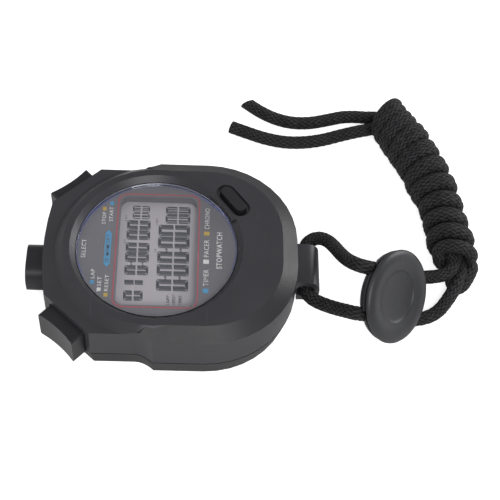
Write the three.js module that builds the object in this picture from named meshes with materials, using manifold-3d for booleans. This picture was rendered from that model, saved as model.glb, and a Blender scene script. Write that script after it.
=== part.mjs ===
// A hand-held digital sports stopwatch lying on its back, with its lanyard.
// Millimetres. +Z comes out of the dial, +Y points at 12 o'clock, and the origin is on the flat
// rest face of the back case, under the centre of the dial.
import * as THREE from "three";
import { mergeVertices } from "three/addons/utils/BufferGeometryUtils.js";
import Module from "manifold-3d";

const wasm = await Module();
wasm.setup();

// ---------- driving dimensions ----------

const fit = 0.3; // gap between pieces that touch or slide

// Case outline, seen from the dial side
const bodyHalf = 30.5; // half width of the round lower body
const earHalf = 27.9; // half width between the side buttons' shoulders
const cornerR = 26; // big corners at 6 o'clock
const cornerY = -14; // centre height of those corners
const stepLength = 5.4; // length of the S-shaped step from body to shoulder
const facetAngle = (47.2 * Math.PI) / 180; // the diagonal facets, from 12 o'clock
const endY = 32; // middle of the 12 o'clock end
const endBulge = 1.4; // how far that end is crowned
const facetReach = endY + 0.3; // distance of a facet from the dial centre

// Heights
const splitZ = 7; // where the two shells meet
const deckZ = 20.5; // flat top face
const shoulderZ = deckZ - 2.6; // top edge of the side wall
const floorT = 1.8; // floor of the back shell
const wallT = 2.2; // wall of both shells
const baseInset = 1.5; // how much the back shell tapers in at its foot
const deckChamfer = 4.3; // width of the sloping band round the top face
const ceilingZ = deckZ - 5.8; // underside of the front shell
const deckSkin = 2.4; // thickness of the top face over its pocket

// Lip that locates the shells on each other
const lipT = 0.7;
const lipHeight = 1.15;

// Shallow recess for a label in the back
const label = { halfX: 15, halfY: 7, corner: 2, y: cornerY - 4, depth: 0.3 };

// Dial
const dialR = 23; // bore that the lens drops into
const dialRimR = dialR + 1.5; // outer edge of the dished ring round the lens
const rimR = dialR + 3.5; // top of the raised rim
const rimFootR = dialR + 6.2; // foot of the raised rim
const lensTopZ = deckZ - 1.5;
const lensT = 1.5;
const lensBevel = 0.25;
const plateT = 0.3;
const tapeT = 0.4;
const ledgeR = dialR - 1.1; // opening under the lens seat
const boreWall = 1.2; // wall between the lens bore and the deck's pocket
const windowHalfX = 18.4;
const windowHalfY = 11;
const windowCorner = 2.6;
const windowSkirt = 0.6; // thickness of the skirt under the window

// Display
const glassHalfX = windowHalfX + 1.9;
const glassHalfY = windowHalfY + 1.9;
const glassT = 1;
const glassLedge = 1.4; // strip of rear glass that the front glass leaves bare
const holderWall = 1.2;
const zebraT = 1.6;
const zebraInset = 2.2;

// Circuit board
const boardTopZ = 10;
const boardT = 1;
const boardInset = 3.2;

// Screws, and the posts they go into
const upperPost = { x: 11, y: endY - 7.8 };
const lowerPost = { x: bodyHalf - 11, y: cornerY - cornerR / 2 + 0.5 };
const casePosts = [
  [-upperPost.x, upperPost.y],
  [upperPost.x, upperPost.y],
  [-lowerPost.x, lowerPost.y],
  [lowerPost.x, lowerPost.y],
];
const boardPosts = [[5.5 - bodyHalf, -4], [bodyHalf - 5.5, -4], [0, cornerY - cornerR + 9]];
const casePostR = 2.2;
const boardPostR = 1.9;
const caseScrew = { shankR: 1, headR: 2, headT: 1.4, length: 9 };
const boardScrew = { shankR: 0.8, headR: 1.5, headT: 0.9, length: 5 };
const screwSeatZ = 2.6;

// Edge buttons: width, height, centre height and how far they stand out
const edgeTravel = 1.2;
const sideButton = { halfW: 6.7, halfH: 5.15, corner: 0.6, centreZ: 10.15, proud: 4.5, along: -2.6 };
const sideScoop = 0.7; // hollow of the thumb face
const selectButton = { halfW: 6.4, halfH: 5.2, corner: 4.3, centreZ: 7, proud: 5.3 };
const flangeT = 1.2;
const flangeReach = 0.9; // how far a flange laps the wall round its window
const plungerHalf = 2.2;
const plungerLength = 0.8;
const buttonGap = 0.35; // clearance of a button in its window
// Tip of a plunger, from the wall's outer face, and the room left for it in front of the board
const plungerReach = wallT + endBulge / 3 + fit + flangeT + plungerLength;
const boardButtonInset = plungerReach + edgeTravel + fit;

// Mode button on the face
const mode = {
  radius: dialR + 3.8,
  angle: (-53 * Math.PI) / 180,
  halfL: 4.9,
  halfW: 1.55,
  topZ: deckZ + 1,
  travel: 0.8,
};
const modeMoat = 1.3; // width of the recess round the button
const modeFloorZ = deckZ - 1.2;
const modePadHalf = 5.6; // the flat patch that interrupts the dish beside the button
const modeFlangeT = 1;
const modeStemR = 1.5;

// Lug and cord
const lug = {
  halfW: 6.7,
  topZ: 13,
  bottomZ: 4,
  endY: cornerY - cornerR - 6.8,
  corner: 3.8,
  boreR: 2.8,
  boreY: cornerY - cornerR - 2.6,
  boreZ: 8.5,
};
const cordR = 1.95;
const cordSides = 8;

// Battery, sounder and small parts
const cell = { x: -9, y: -13, r: 10, t: 3.2 };
const cellTopZ = 8.1;
const contactT = 0.3;
const sounder = { x: 11, y: -8, r: 10, t: 0.4 };
const sounderRing = 0.9;
const sounderRingZ = 3.2;
const sounderWireR = 0.18;

// Cord slider: a round bead with a dished front and two tunnels side by side
const slider = {
  centre: [-11.85, -67.75, 15.13],
  normal: [-0.497, -0.694, 0.521],
  long: [0.814, -0.164, 0.557],
};
const sliderR = 13.4;
const tunnelR = 2.4;
const tunnelSide = 6.5; // each tunnel's distance from the middle
const tunnelDepth = 3.25; // behind the front rim

// The cord's stretches, as points along its centre line
const strandRight = [
  [0.3, -42.6, 8.5], [4.5, -42.6, 8.5], [8, -42.9, 8.5], [10.7, -44.4, 8.7], [11.4, -46.9, 9.4],
  [9.8, -49.2, 10.7], [6.3, -51, 12.8], [2, -52.3, 15.8], [-2.4, -53.7, 19.3], [-6, -55.3, 22.7],
  [-8.1, -56.9, 24.7], [-8.56, -58.16, 24.81], [-7.96, -59.56, 23.52], [-6.46, -63.07, 20.29],
  [-4.95, -66.57, 17.06], [-3.45, -70.08, 13.83], [-1.94, -73.58, 10.6], [-1.34, -74.98, 9.31],
  [-0.5, -77.2, 7.9], [0.2, -79.8, 7.2], [0.7, -82.4, 7.1], [1.7, -84.9, 7.5], [4.1, -86.6, 8],
];
const strandLeft = [
  [-0.3, -42.6, 8.5], [-4.5, -42.6, 8.5], [-7.6, -43.3, 8.5], [-9.8, -45.3, 8.8], [-12, -48.3, 9.9],
  [-14.6, -51.3, 12.3], [-17.4, -53.9, 15.6], [-19, -55.4, 17.4], [-19.14, -56.2, 17.5],
  [-18.54, -57.42, 16.28], [-17.04, -60.93, 13.05], [-15.53, -64.43, 9.82], [-14.03, -67.94, 6.59],
  [-12.52, -71.44, 3.36], [-11.9, -72.9, 2.05], [-11.3, -74.8, 1.96], [-10.9, -77.2, 1.96],
  [-9.9, -79.9, 2], [-7.9, -82.6, 2.2], [-5, -85, 3.2], [-1.4, -87.3, 4.3], [4.6, -89.3, 4.9],
];
const hankR = 7.2;
const hankZ = hankR + 0.4;
const hankAxis = [[5.6, -87.2], [15, -86.4], [30, -83.8], [45, -78], [57.5, -71.6], [65.6, -68.8]];
const freeEndUpper = [
  [64.3, -61.2, 2.05], [64, -57, 2], [62.6, -52, 2], [61.2, -46.5, 2],
  [61, -41, 2], [62.2, -36, 2], [64.8, -31, 2], [68.5, -26.2, 2],
];
const freeEndLower = [
  [58.8, -63.1, 2.05], [56.4, -56, 2], [54.3, -50, 2], [53.1, -44, 2],
  [53, -38, 2], [54.3, -31.8, 2], [56.4, -26.2, 2], [58.5, -21.1, 2],
];

// ---------- heights that follow ----------

const plateTopZ = lensTopZ - lensT - fit;
const plateZ = plateTopZ - plateT;
const tapeZ = plateZ - fit - tapeT;
const tapeSeatZ = tapeZ - fit / 3;
const glassTopZ = ceilingZ - 1.3 * fit;
const rearTopZ = glassTopZ - glassT - fit;
const partZ = boardTopZ + 0.6 * fit; // what stands on the board
const boardZ = boardTopZ - boardT;
const holderZ = boardTopZ + fit;
const dialPartR = dialR - fit;

// ---------- solids ----------

// A closed geometry as a solid, its shared vertices merged
function solid(geometry) {
  const bare = geometry.clone();
  bare.deleteAttribute("normal");
  bare.deleteAttribute("uv");
  const merged = mergeVertices(bare, 1e-4);
  return new wasm.Manifold(
    new wasm.Mesh({
      numProp: 3,
      vertProperties: merged.attributes.position.array,
      triVerts: new Uint32Array(merged.index.array),
    }),
  );
}

function geometryOf(body) {
  const mesh = body.getMesh();
  return new THREE.BufferGeometry()
    .setAttribute("position", new THREE.BufferAttribute(new Float32Array(mesh.vertProperties), 3))
    .setIndex(new THREE.BufferAttribute(new Uint32Array(mesh.triVerts), 1));
}

const join = (...bodies) => bodies.reduce((whole, next) => whole.add(next));
const cut = (body, ...tools) => tools.reduce((left, tool) => left.subtract(tool), body);

// A flat shape raised from z0 to z1
function raise(shape, z0, z1, curveSegments = 5) {
  const options = { depth: z1 - z0, bevelEnabled: false, curveSegments };
  return new THREE.ExtrudeGeometry(shape, options).translate(0, 0, z0);
}

function box(x0, x1, y0, y1, z0, z1) {
  const geometry = new THREE.BoxGeometry(x1 - x0, y1 - y0, z1 - z0);
  return geometry.translate((x0 + x1) / 2, (y0 + y1) / 2, (z0 + z1) / 2);
}

function post(x, y, radius, z0, z1, segments = 12) {
  const geometry = new THREE.CylinderGeometry(radius, radius, z1 - z0, segments);
  return geometry.rotateX(Math.PI / 2).translate(x, y, (z0 + z1) / 2);
}

// A profile of [radius, height] pairs turned round Z
function turned(profile, segments = 40) {
  const points = profile.map(([r, z]) => new THREE.Vector2(r, z));
  return new THREE.LatheGeometry(points, segments).rotateX(Math.PI / 2);
}

const ring = (inner, outer, z0, z1, segments) =>
  turned([[inner, z0], [outer, z0], [outer, z1], [inner, z1], [inner, z0]], segments);

function roundedRect(halfX, halfY, corner) {
  const shape = new THREE.Shape();
  shape.moveTo(halfX, corner - halfY);
  shape.lineTo(halfX, halfY - corner);
  shape.absarc(halfX - corner, halfY - corner, corner, 0, Math.PI / 2);
  shape.lineTo(corner - halfX, halfY);
  shape.absarc(corner - halfX, halfY - corner, corner, Math.PI / 2, Math.PI);
  shape.lineTo(-halfX, corner - halfY);
  shape.absarc(corner - halfX, corner - halfY, corner, Math.PI, 1.5 * Math.PI);
  shape.lineTo(halfX - corner, -halfY);
  shape.absarc(halfX - corner, corner - halfY, corner, 1.5 * Math.PI, 2 * Math.PI);
  return shape;
}

// The case outline moved inwards: all round, at the facets and at the 12 o'clock end
function caseOutline(inset, facetInset = inset, endInset = inset) {
  const body = bodyHalf - inset;
  const ear = earHalf - inset;
  const corner = cornerR - inset;
  const cornerX = bodyHalf - cornerR;
  const reach = facetReach - facetInset;
  const topY = endY - endBulge - endInset;
  const earY = (reach - Math.sin(facetAngle) * ear) / Math.cos(facetAngle);
  const topX = (reach - Math.cos(facetAngle) * topY) / Math.sin(facetAngle);
  const shape = new THREE.Shape();
  shape.moveTo(-cornerX, cornerY - corner);
  shape.lineTo(cornerX, cornerY - corner);
  shape.absarc(cornerX, cornerY, corner, -Math.PI / 2, 0);
  shape.lineTo(body, 0);
  shape.quadraticCurveTo(ear, stepLength / 2, ear, stepLength);
  shape.lineTo(ear, earY);
  shape.lineTo(topX, topY);
  shape.quadraticCurveTo(0, topY + 2 * endBulge, -topX, topY);
  shape.lineTo(-ear, earY);
  shape.lineTo(-ear, stepLength);
  shape.quadraticCurveTo(-ear, stepLength / 2, -body, 0);
  shape.lineTo(-body, cornerY);
  shape.absarc(-cornerX, cornerY, corner, Math.PI, 1.5 * Math.PI);
  return shape;
}

// The round lower part of the top face, moved inwards
function deckOutline(inset) {
  const body = bodyHalf - inset;
  const corner = cornerR - inset;
  const cornerX = bodyHalf - cornerR;
  const shape = new THREE.Shape();
  shape.moveTo(-cornerX, cornerY - corner);
  shape.lineTo(cornerX, cornerY - corner);
  shape.absarc(cornerX, cornerY, corner, -Math.PI / 2, 0);
  shape.lineTo(body, 1.5);
  shape.lineTo(-body, 1.5);
  shape.lineTo(-body, cornerY);
  shape.absarc(-cornerX, cornerY, corner, Math.PI, 1.5 * Math.PI);
  return shape;
}

// A round rod along a smooth curve through the points
function rod(points, radius, steps, sides) {
  const section = new THREE.Shape();
  section.absarc(0, 0, radius, 0, 2 * Math.PI);
  const extrudePath = new THREE.CatmullRomCurve3(points.map((p) => new THREE.Vector3(...p)));
  const options = { extrudePath, steps, curveSegments: sides / 2, bevelEnabled: false };
  return new THREE.ExtrudeGeometry(section, options);
}

const cordTube = (points, steps) => rod(points, cordR, steps, cordSides);

// A straight-sided hole or boss whose ends are half circles
const slot = (halfL, halfW, z0, z1) => raise(roundedRect(halfL, halfW, halfW - 0.01), z0, z1, 6);

// ---------- places ----------

// Frame of an edge button: +Y out of the case, X across, Z up
function buttonFrame(side) {
  const matrix = new THREE.Matrix4().makeRotationZ(-side * facetAngle);
  const out = new THREE.Vector3(side * Math.sin(facetAngle), Math.cos(facetAngle), 0);
  const across = new THREE.Vector3(Math.cos(facetAngle), -side * Math.sin(facetAngle), 0);
  const place = out.multiplyScalar(facetReach).add(across.multiplyScalar(side * sideButton.along));
  return matrix.setPosition(place.x, place.y, sideButton.centreZ);
}
const selectFrame = new THREE.Matrix4().setPosition(0, endY, selectButton.centreZ);
const modeFrame = new THREE.Matrix4()
  .makeRotationZ(mode.angle + Math.PI / 2)
  .setPosition(mode.radius * Math.cos(mode.angle), mode.radius * Math.sin(mode.angle), 0);

// A window for an edge button, in the button's own frame
function buttonWindow(button) {
  const hole = roundedRect(button.halfW + buttonGap, button.halfH + buttonGap, button.corner + buttonGap);
  return raise(hole, -3 * wallT, wallT, 6).rotateX(-Math.PI / 2);
}
const windows = [
  buttonWindow(sideButton).applyMatrix4(buttonFrame(1)),
  buttonWindow(sideButton).applyMatrix4(buttonFrame(-1)),
  buttonWindow(selectButton).applyMatrix4(selectFrame),
];

// ---------- shells ----------

function makeFrontCase() {
  const wall = solid(raise(caseOutline(0), splitZ + fit / 2, shoulderZ));
  const limits = solid(raise(caseOutline(0), splitZ + fit / 2, deckZ + 1));
  const deckRise = deckZ - shoulderZ;
  const deckOptions = {
    depth: deckRise,
    bevelThickness: deckRise,
    bevelSize: deckChamfer,
    bevelSegments: 1,
    curveSegments: 5,
  };
  const deckBlock = new THREE.ExtrudeGeometry(deckOutline(deckChamfer), deckOptions);
  const deck = solid(deckBlock.translate(0, 0, deckZ - 2 * deckRise));
  const rimProfile = [[0, ceilingZ], [rimFootR, ceilingZ], [rimFootR, shoulderZ], [rimR, deckZ], [0, deckZ]];
  const rim = solid(turned(rimProfile));
  const outside = join(wall, deck, rim).intersect(limits);

  const hollow = solid(raise(caseOutline(wallT), splitZ - 1, ceilingZ));
  const lipRoom = solid(raise(caseOutline(wallT - lipT - fit), splitZ - 1, splitZ + lipHeight + fit));
  const pocket = cut(
    solid(raise(deckOutline(deckChamfer + wallT), ceilingZ - 1, deckZ - deckSkin)),
    solid(post(0, 0, dialR + boreWall, ceilingZ - 2, deckZ, 40)),
  );
  const lensBore = solid(post(0, 0, dialR, tapeSeatZ, deckZ + 1, 40));
  const ledgeHole = solid(post(0, 0, ledgeR, ceilingZ - 1, deckZ, 40));
  const pad = box(-modePadHalf, modePadHalf, 0, mode.radius - dialR + 1, lensTopZ - 1, deckZ + 2);
  const slope = [[dialR, lensTopZ], [dialRimR, deckZ]];
  const dishBlock = solid(turned([[0, lensTopZ], ...slope, [dialRimR, deckZ + 1], [0, deckZ + 1]]));
  const dish = cut(dishBlock, solid(pad.applyMatrix4(modeFrame)));
  const modeHoles = [[modeMoat, modeFloorZ], [buttonGap, ceilingZ]].map(([gap, floor]) =>
    solid(slot(mode.halfL + gap, mode.halfW + gap, floor, deckZ + 1).applyMatrix4(modeFrame)),
  );

  const posts = [
    ...casePosts.map(([x, y]) => solid(post(x, y, casePostR, splitZ + fit, deckZ - deckSkin + 0.5))),
    ...boardPosts.map(([x, y]) => solid(post(x, y, boardPostR, boardTopZ + fit, deckZ - deckSkin + 0.5))),
  ].map((body) => body.intersect(limits));
  const casePilotR = caseScrew.shankR + fit;
  const casePilotTop = screwSeatZ + caseScrew.length + 1;
  const boardPilotR = boardScrew.shankR + fit;
  const boardPilotTop = boardTopZ + boardScrew.length;
  const pilots = [
    ...casePosts.map(([x, y]) => solid(post(x, y, casePilotR, splitZ, casePilotTop, 10))),
    ...boardPosts.map(([x, y]) => solid(post(x, y, boardPilotR, boardTopZ, boardPilotTop, 10))),
  ];

  const shell = cut(outside, hollow, lipRoom, pocket, lensBore, ledgeHole, dish, ...modeHoles);
  return cut(join(shell, makeLug(), ...posts), ...pilots, ...windows.map(solid));
}

// The lanyard lug: a rounded block with a bore from side to side
function makeLug() {
  const wallY = cornerY - cornerR;
  const nose = new THREE.Shape();
  nose.moveTo(-wallY - wallT / 2, splitZ + fit / 2);
  nose.lineTo(-wallY + fit, splitZ + fit / 2);
  nose.lineTo(-wallY + fit, lug.bottomZ);
  nose.lineTo(-lug.endY - lug.corner, lug.bottomZ);
  nose.absarc(-lug.endY - lug.corner, lug.bottomZ + lug.corner, lug.corner, -Math.PI / 2, 0);
  nose.lineTo(-lug.endY, lug.topZ - lug.corner);
  nose.absarc(-lug.endY - lug.corner, lug.topZ - lug.corner, lug.corner, 0, Math.PI / 2);
  nose.lineTo(-wallY - wallT / 2, lug.topZ);
  const toPlace = new THREE.Matrix4().makeBasis(
    new THREE.Vector3(0, -1, 0),
    new THREE.Vector3(0, 0, 1),
    new THREE.Vector3(-1, 0, 0),
  );
  const block = raise(nose, -lug.halfW, lug.halfW, 8).applyMatrix4(toPlace);
  const bore = new THREE.CylinderGeometry(lug.boreR, lug.boreR, 3 * lug.halfW, 24)
    .rotateZ(Math.PI / 2)
    .translate(0, lug.boreY, lug.boreZ);
  return cut(solid(block), solid(bore));
}

function makeBackCase() {
  const rise = splitZ - fit / 2;
  const options = {
    depth: 1,
    bevelThickness: rise,
    bevelSize: baseInset,
    bevelSegments: 1,
    curveSegments: 5,
  };
  const tapered = solid(new THREE.ExtrudeGeometry(caseOutline(baseInset), options).translate(0, 0, rise));
  const outside = tapered.intersect(solid(raise(caseOutline(0), 0, rise)));
  const hollow = solid(raise(caseOutline(wallT + baseInset / 2), floorT, splitZ + 1));
  const hollowTop = solid(raise(caseOutline(wallT), splitZ / 2, splitZ + 1));
  const lip = cut(
    solid(raise(caseOutline(wallT - lipT), rise - 0.5, splitZ + lipHeight)),
    solid(raise(caseOutline(wallT), 0, splitZ + 2 * lipHeight)),
  );
  const bosses = casePosts.map(([x, y]) => solid(post(x, y, casePostR + 0.6, floorT / 2, splitZ - fit)));
  const wells = casePosts.map(([x, y]) => solid(post(x, y, caseScrew.headR + fit, -1, screwSeatZ)));
  const shanks = casePosts.map(([x, y]) => solid(post(x, y, caseScrew.shankR + fit, -1, splitZ + 1, 10)));
  const seatR = sounder.r + fit;
  const seatRing = ring(seatR, seatR + sounderRing, floorT / 2, sounderRingZ, 32);
  const seat = solid(seatRing.translate(sounder.x, sounder.y, 0));
  const labelShape = roundedRect(label.halfX, label.halfY, label.corner);
  const labelRoom = solid(raise(labelShape, -1, label.depth, 3).translate(0, label.y, 0));
  const shell = join(cut(join(outside, lip), hollow, hollowTop), ...bosses, seat);
  return cut(shell, ...wells, ...shanks, labelRoom, ...windows.map(solid));
}

// ---------- dial and display ----------

const makeLens = () =>
  turned([
    [0, lensTopZ - lensT],
    [dialPartR, lensTopZ - lensT],
    [dialPartR, lensTopZ - lensBevel],
    [dialPartR - lensBevel, lensTopZ],
    [0, lensTopZ],
  ]);

const makeLensTape = () => ring(ledgeR, dialPartR, tapeZ, tapeZ + tapeT, 40);

function makeDialPlate() {
  const sheet = solid(post(0, 0, dialPartR, plateZ, plateTopZ, 40));
  const [skirtX, skirtY, skirtCorner] = [windowHalfX, windowHalfY, windowCorner].map((v) => v + windowSkirt);
  const skirt = solid(raise(roundedRect(skirtX, skirtY, skirtCorner), glassTopZ + fit, plateTopZ));
  const opening = solid(raise(roundedRect(windowHalfX, windowHalfY, windowCorner), 0, deckZ));
  return cut(join(sheet, skirt), opening);
}

const makeGlass = (lowY, topZ) => box(-glassHalfX, glassHalfX, lowY, glassHalfY, topZ - glassT, topZ);

function makeHolder() {
  const inner = [glassHalfX + fit, glassHalfY + fit];
  const frame = raise(roundedRect(inner[0] + holderWall, inner[1] + holderWall, 1.5), holderZ, glassTopZ, 4);
  return cut(solid(frame), solid(raise(roundedRect(inner[0], inner[1], 0.3), 0, deckZ, 2)));
}

function makeZebra(side) {
  const y = side * (glassHalfY - zebraInset);
  const halfX = glassHalfX - 2;
  return box(-halfX, halfX, y - zebraT / 2, y + zebraT / 2, boardTopZ + fit, rearTopZ - glassT - fit);
}

// ---------- circuit board and its parts ----------

function makeBoard() {
  const sheet = solid(raise(caseOutline(boardInset, boardButtonInset, boardButtonInset), boardZ, boardTopZ));
  const clearances = casePosts.map(([x, y]) => solid(post(x, y, casePostR + 0.4, 0, deckZ)));
  const holes = boardPosts.map(([x, y]) => solid(post(x, y, boardScrew.shankR + fit, 0, deckZ, 10)));
  return cut(sheet, ...clearances, ...holes);
}

// A pan-head screw, head down, with a cross recess in its head
function makeScrew({ shankR, headR, headT, length }) {
  const head = [[0, 0], [0.8 * headR, 0], [headR, 0.35 * headT], [headR, headT]];
  const shank = [[shankR, headT], [shankR, length - shankR], [0, length]];
  const long = 0.6 * headR;
  const wide = 0.22 * headR;
  const recess = [[long, wide], [wide, long]].map(([x, y]) => solid(box(-x, x, -y, y, -1, headT / 2)));
  return cut(solid(turned([...head, ...shank], 12)), ...recess);
}

const makeChipCoating = () => turned([[0, -1.3], [2, -1.2], [3.6, -0.7], [4.3, 0], [0, 0]], 20);

function makeCrystal() {
  return new THREE.CylinderGeometry(1, 1, 6, 14).rotateZ(Math.PI / 2);
}

const makeCapacitor = () => box(-1, 1, -0.6, 0.6, -1, 0);

function makeCell() {
  const can = [[0, -cell.t], [cell.r - 0.4, -cell.t], [cell.r, 0.4 - cell.t], [cell.r, -0.7]];
  return turned([...can, [cell.r - 1.2, -0.5], [cell.r - 1.4, 0], [0, 0]], 36);
}

// The strap from the board, down past the cell and under it
function makeCellStrap() {
  const out = cell.r + fit;
  const foot = cellTopZ - cell.t - fit - contactT;
  return join(
    solid(box(out, out + contactT, -3, 3, foot, boardZ - fit)),
    solid(box(out - 9, out + contactT, -3, 3, foot, foot + contactT)),
  );
}

const makeCellPad = () => box(-6, 6, -2, 2, cellTopZ + fit, cellTopZ + fit + contactT);

// A leaf that stands at the board's edge in front of a button's plunger
function makeLeaf() {
  return join(
    solid(box(-2, 2, -contactT, 0, partZ, partZ + 3)),
    solid(box(-2, 2, -3.2, 0, partZ, partZ + contactT)),
  );
}

const makeModeDome = () => turned([[0, 0], [2.4, 0], [2.1, 0.5], [1.4, 1], [0, 1.1]], 20);

// A fine coil spring between the sounder and the board
function makeSounderSpring() {
  const turns = 5;
  const coilR = 1;
  const z0 = floorT + fit + sounder.t + fit + 0.2;
  const z1 = boardZ - fit - 0.2;
  const steps = turns * 8;
  const points = [];
  for (let i = 0; i <= steps; i++) {
    const angle = (i * Math.PI) / 4;
    points.push([coilR * Math.cos(angle), coilR * Math.sin(angle), z0 + ((z1 - z0) * i) / steps]);
  }
  return rod(points, sounderWireR, steps, 4);
}

// ---------- buttons ----------

// The block outside, a flange behind the wall and a plunger; the wall's outer face is at y = 0
function makeEdgeButton(button, wallInside, ceiling) {
  const face = roundedRect(button.halfW, button.halfH, button.corner);
  const block = solid(raise(face, wallInside - flangeT / 2, button.proud, 8).rotateX(-Math.PI / 2));
  const low = Math.max(-button.halfH - flangeReach, splitZ / 2 + fit - button.centreZ);
  const high = Math.min(button.halfH + flangeReach, ceiling - button.centreZ);
  const reach = button.halfW + flangeReach;
  const flange = solid(box(-reach, reach, wallInside - flangeT, wallInside, low, high));
  const plungerZ = boardTopZ + 1.6 - button.centreZ;
  const tip = wallInside - flangeT - plungerLength;
  const root = wallInside - flangeT / 2;
  const plunger = solid(box(-plungerHalf, plungerHalf, tip, root, plungerZ - 1, plungerZ + 1));
  return join(block, flange, plunger);
}

function makeSideButton() {
  const half = sideButton.halfW;
  const scoopR = (half * half + sideScoop * sideScoop) / (2 * sideScoop);
  const scoop = new THREE.CylinderGeometry(scoopR, scoopR, 4 * sideButton.halfH, 96).rotateX(Math.PI / 2);
  scoop.translate(0, sideButton.proud + scoopR - sideScoop, 0);
  const top = solid(box(-40, 40, -40, -wallT, ceilingZ - fit - sideButton.centreZ, 40));
  return cut(makeEdgeButton(sideButton, -wallT - fit, ceilingZ - fit), solid(scoop), top);
}

const makeSelectButton = () => makeEdgeButton(selectButton, -wallT - fit - endBulge / 3, ceilingZ - fit);

function makeModeButton() {
  const flangeTop = modeFloorZ - 1.2 - fit;
  const bar = solid(slot(mode.halfL, mode.halfW, flangeTop - modeFlangeT / 2, mode.topZ));
  const flangeShape = roundedRect(mode.halfL + 1, mode.halfW + 0.8, 1);
  const flange = solid(raise(flangeShape, flangeTop - modeFlangeT, flangeTop, 4));
  const stemZ = boardTopZ + fit + 1.1 + mode.travel + fit;
  const stem = solid(post(0, 0, modeStemR, stemZ, flangeTop, 14));
  return join(bar, flange, stem);
}

// ---------- slider ----------

function makeSlider() {
  const back = [[0, -6.65], [5, -6.45], [9, -5.4], [11.6, -3.7], [12.9, -1.8], [13, -1.1]];
  const groove = [[12.4, -0.9], [12.4, -0.4]];
  const edge = [[sliderR - 0.2, -0.3], [sliderR, 0.1], [sliderR - 0.2, 0.5]];
  const front = [[12.6, 1.1], [10.8, 1.45], [8, 0.5], [7.6, 0.2], [6.4, -0.3], [3.4, -0.65], [0, -0.75]];
  const bead = solid(turned([...back, ...groove, ...edge, ...front], 32));
  const tunnels = [-1, 1].map((side) => {
    const bore = new THREE.CylinderGeometry(tunnelR, tunnelR, 3 * sliderR, 16);
    return solid(bore.translate(side * tunnelSide, 0, -tunnelDepth));
  });
  return cut(bead, ...tunnels);
}

// X along the long direction, Y along the tunnels, Z out of the dish
function sliderFrame() {
  const normal = new THREE.Vector3(...slider.normal).normalize();
  const long = new THREE.Vector3(...slider.long);
  long.addScaledVector(normal, -long.dot(normal)).normalize();
  const along = new THREE.Vector3().crossVectors(normal, long);
  return new THREE.Matrix4().makeBasis(long, along, normal).setPosition(...slider.centre);
}

// ---------- assembly ----------

const finish = {
  caseBlack: { color: 0x1d1d20, roughness: 0.55 },
  buttonBlack: { color: 0x1b1b1e, roughness: 0.5 },
  clear: { color: 0xdfe6ea, roughness: 0.05, transparent: true, opacity: 0.25 },
  tape: { color: 0x2a2a2a, roughness: 0.9 },
  dialGrey: { color: 0x55555c, roughness: 0.5 },
  displayGlass: { color: 0xa8a4a8, roughness: 0.1 },
  white: { color: 0xe4e2dc, roughness: 0.6 },
  zebra: { color: 0x3c3c40, roughness: 0.8 },
  board: { color: 0x1f5a34, roughness: 0.45 },
  steel: { color: 0xb8bbc0, roughness: 0.3, metalness: 1 },
  bronze: { color: 0xc49a56, roughness: 0.35, metalness: 1 },
  epoxy: { color: 0x111111, roughness: 0.4 },
  ceramic: { color: 0xa98a64, roughness: 0.6 },
  rubber: { color: 0x303034, roughness: 0.8 },
  cord: { color: 0x1a1a1c, roughness: 0.95 },
  sliderGrey: { color: 0x2c2d31, roughness: 0.3 },
};
const materials = Object.fromEntries(
  Object.entries(finish).map(([name, values]) => [name, new THREE.MeshStandardMaterial(values)]),
);

const stopwatch = new THREE.Group();

function add(name, shape, material, matrix) {
  const geometry = shape.isBufferGeometry ? shape : geometryOf(shape);
  geometry.computeVertexNormals();
  const mesh = new THREE.Mesh(geometry, materials[material].clone());
  mesh.name = name;
  if (matrix) mesh.applyMatrix4(matrix);
  stopwatch.add(mesh);
}

const at = (x, y, z) => new THREE.Matrix4().setPosition(x, y, z);
const turnedAt = (x, y, z, angle) => new THREE.Matrix4().makeRotationZ(angle).setPosition(x, y, z);

add("front_case", makeFrontCase(), "caseBlack");
add("back_case", makeBackCase(), "caseBlack");
const caseScrewZ = screwSeatZ - caseScrew.headT - fit;
const boardScrewZ = boardZ - boardScrew.headT - fit;
casePosts.forEach(([x, y], i) =>
  add("case_screw_" + (i + 1), makeScrew(caseScrew), "steel", at(x, y, caseScrewZ)),
);

add("lens", makeLens(), "clear");
add("lens_tape", makeLensTape(), "tape");
add("dial_plate", makeDialPlate(), "dialGrey");
add("lcd_front_glass", makeGlass(glassLedge - glassHalfY, glassTopZ), "displayGlass");
add("lcd_rear_glass", makeGlass(-glassHalfY, rearTopZ), "displayGlass");
add("lcd_holder", makeHolder(), "white");
add("zebra_strip_upper", makeZebra(1), "zebra");
add("zebra_strip_lower", makeZebra(-1), "zebra");

add("circuit_board", makeBoard(), "board");
boardPosts.forEach(([x, y], i) =>
  add("board_screw_" + (i + 1), makeScrew(boardScrew), "steel", at(x, y, boardScrewZ)),
);
add("chip_coating", makeChipCoating(), "epoxy", at(8, 10, boardZ - fit));
add("timing_crystal", makeCrystal(), "steel", at(-8, 8, boardZ - fit - 1));
add("capacitor_1", makeCapacitor(), "ceramic", at(-3, 13, boardZ - fit));
add("capacitor_2", makeCapacitor(), "ceramic", at(-8, 13, boardZ - fit));
add("coin_cell", makeCell(), "steel", at(cell.x, cell.y, cellTopZ));
add("cell_strap", makeCellStrap(), "steel", turnedAt(cell.x, cell.y, 0, Math.PI));
add("cell_pad", makeCellPad(), "steel", at(cell.x, cell.y, 0));
const sounderDisc = post(sounder.x, sounder.y, sounder.r, floorT + fit, floorT + fit + sounder.t, 32);
add("sounder_disc", sounderDisc, "bronze");
add("sounder_spring_inner", makeSounderSpring(), "steel", at(sounder.x, sounder.y, 0));
add("sounder_spring_outer", makeSounderSpring(), "steel", at(sounder.x, sounder.y + 7, 0));

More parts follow.
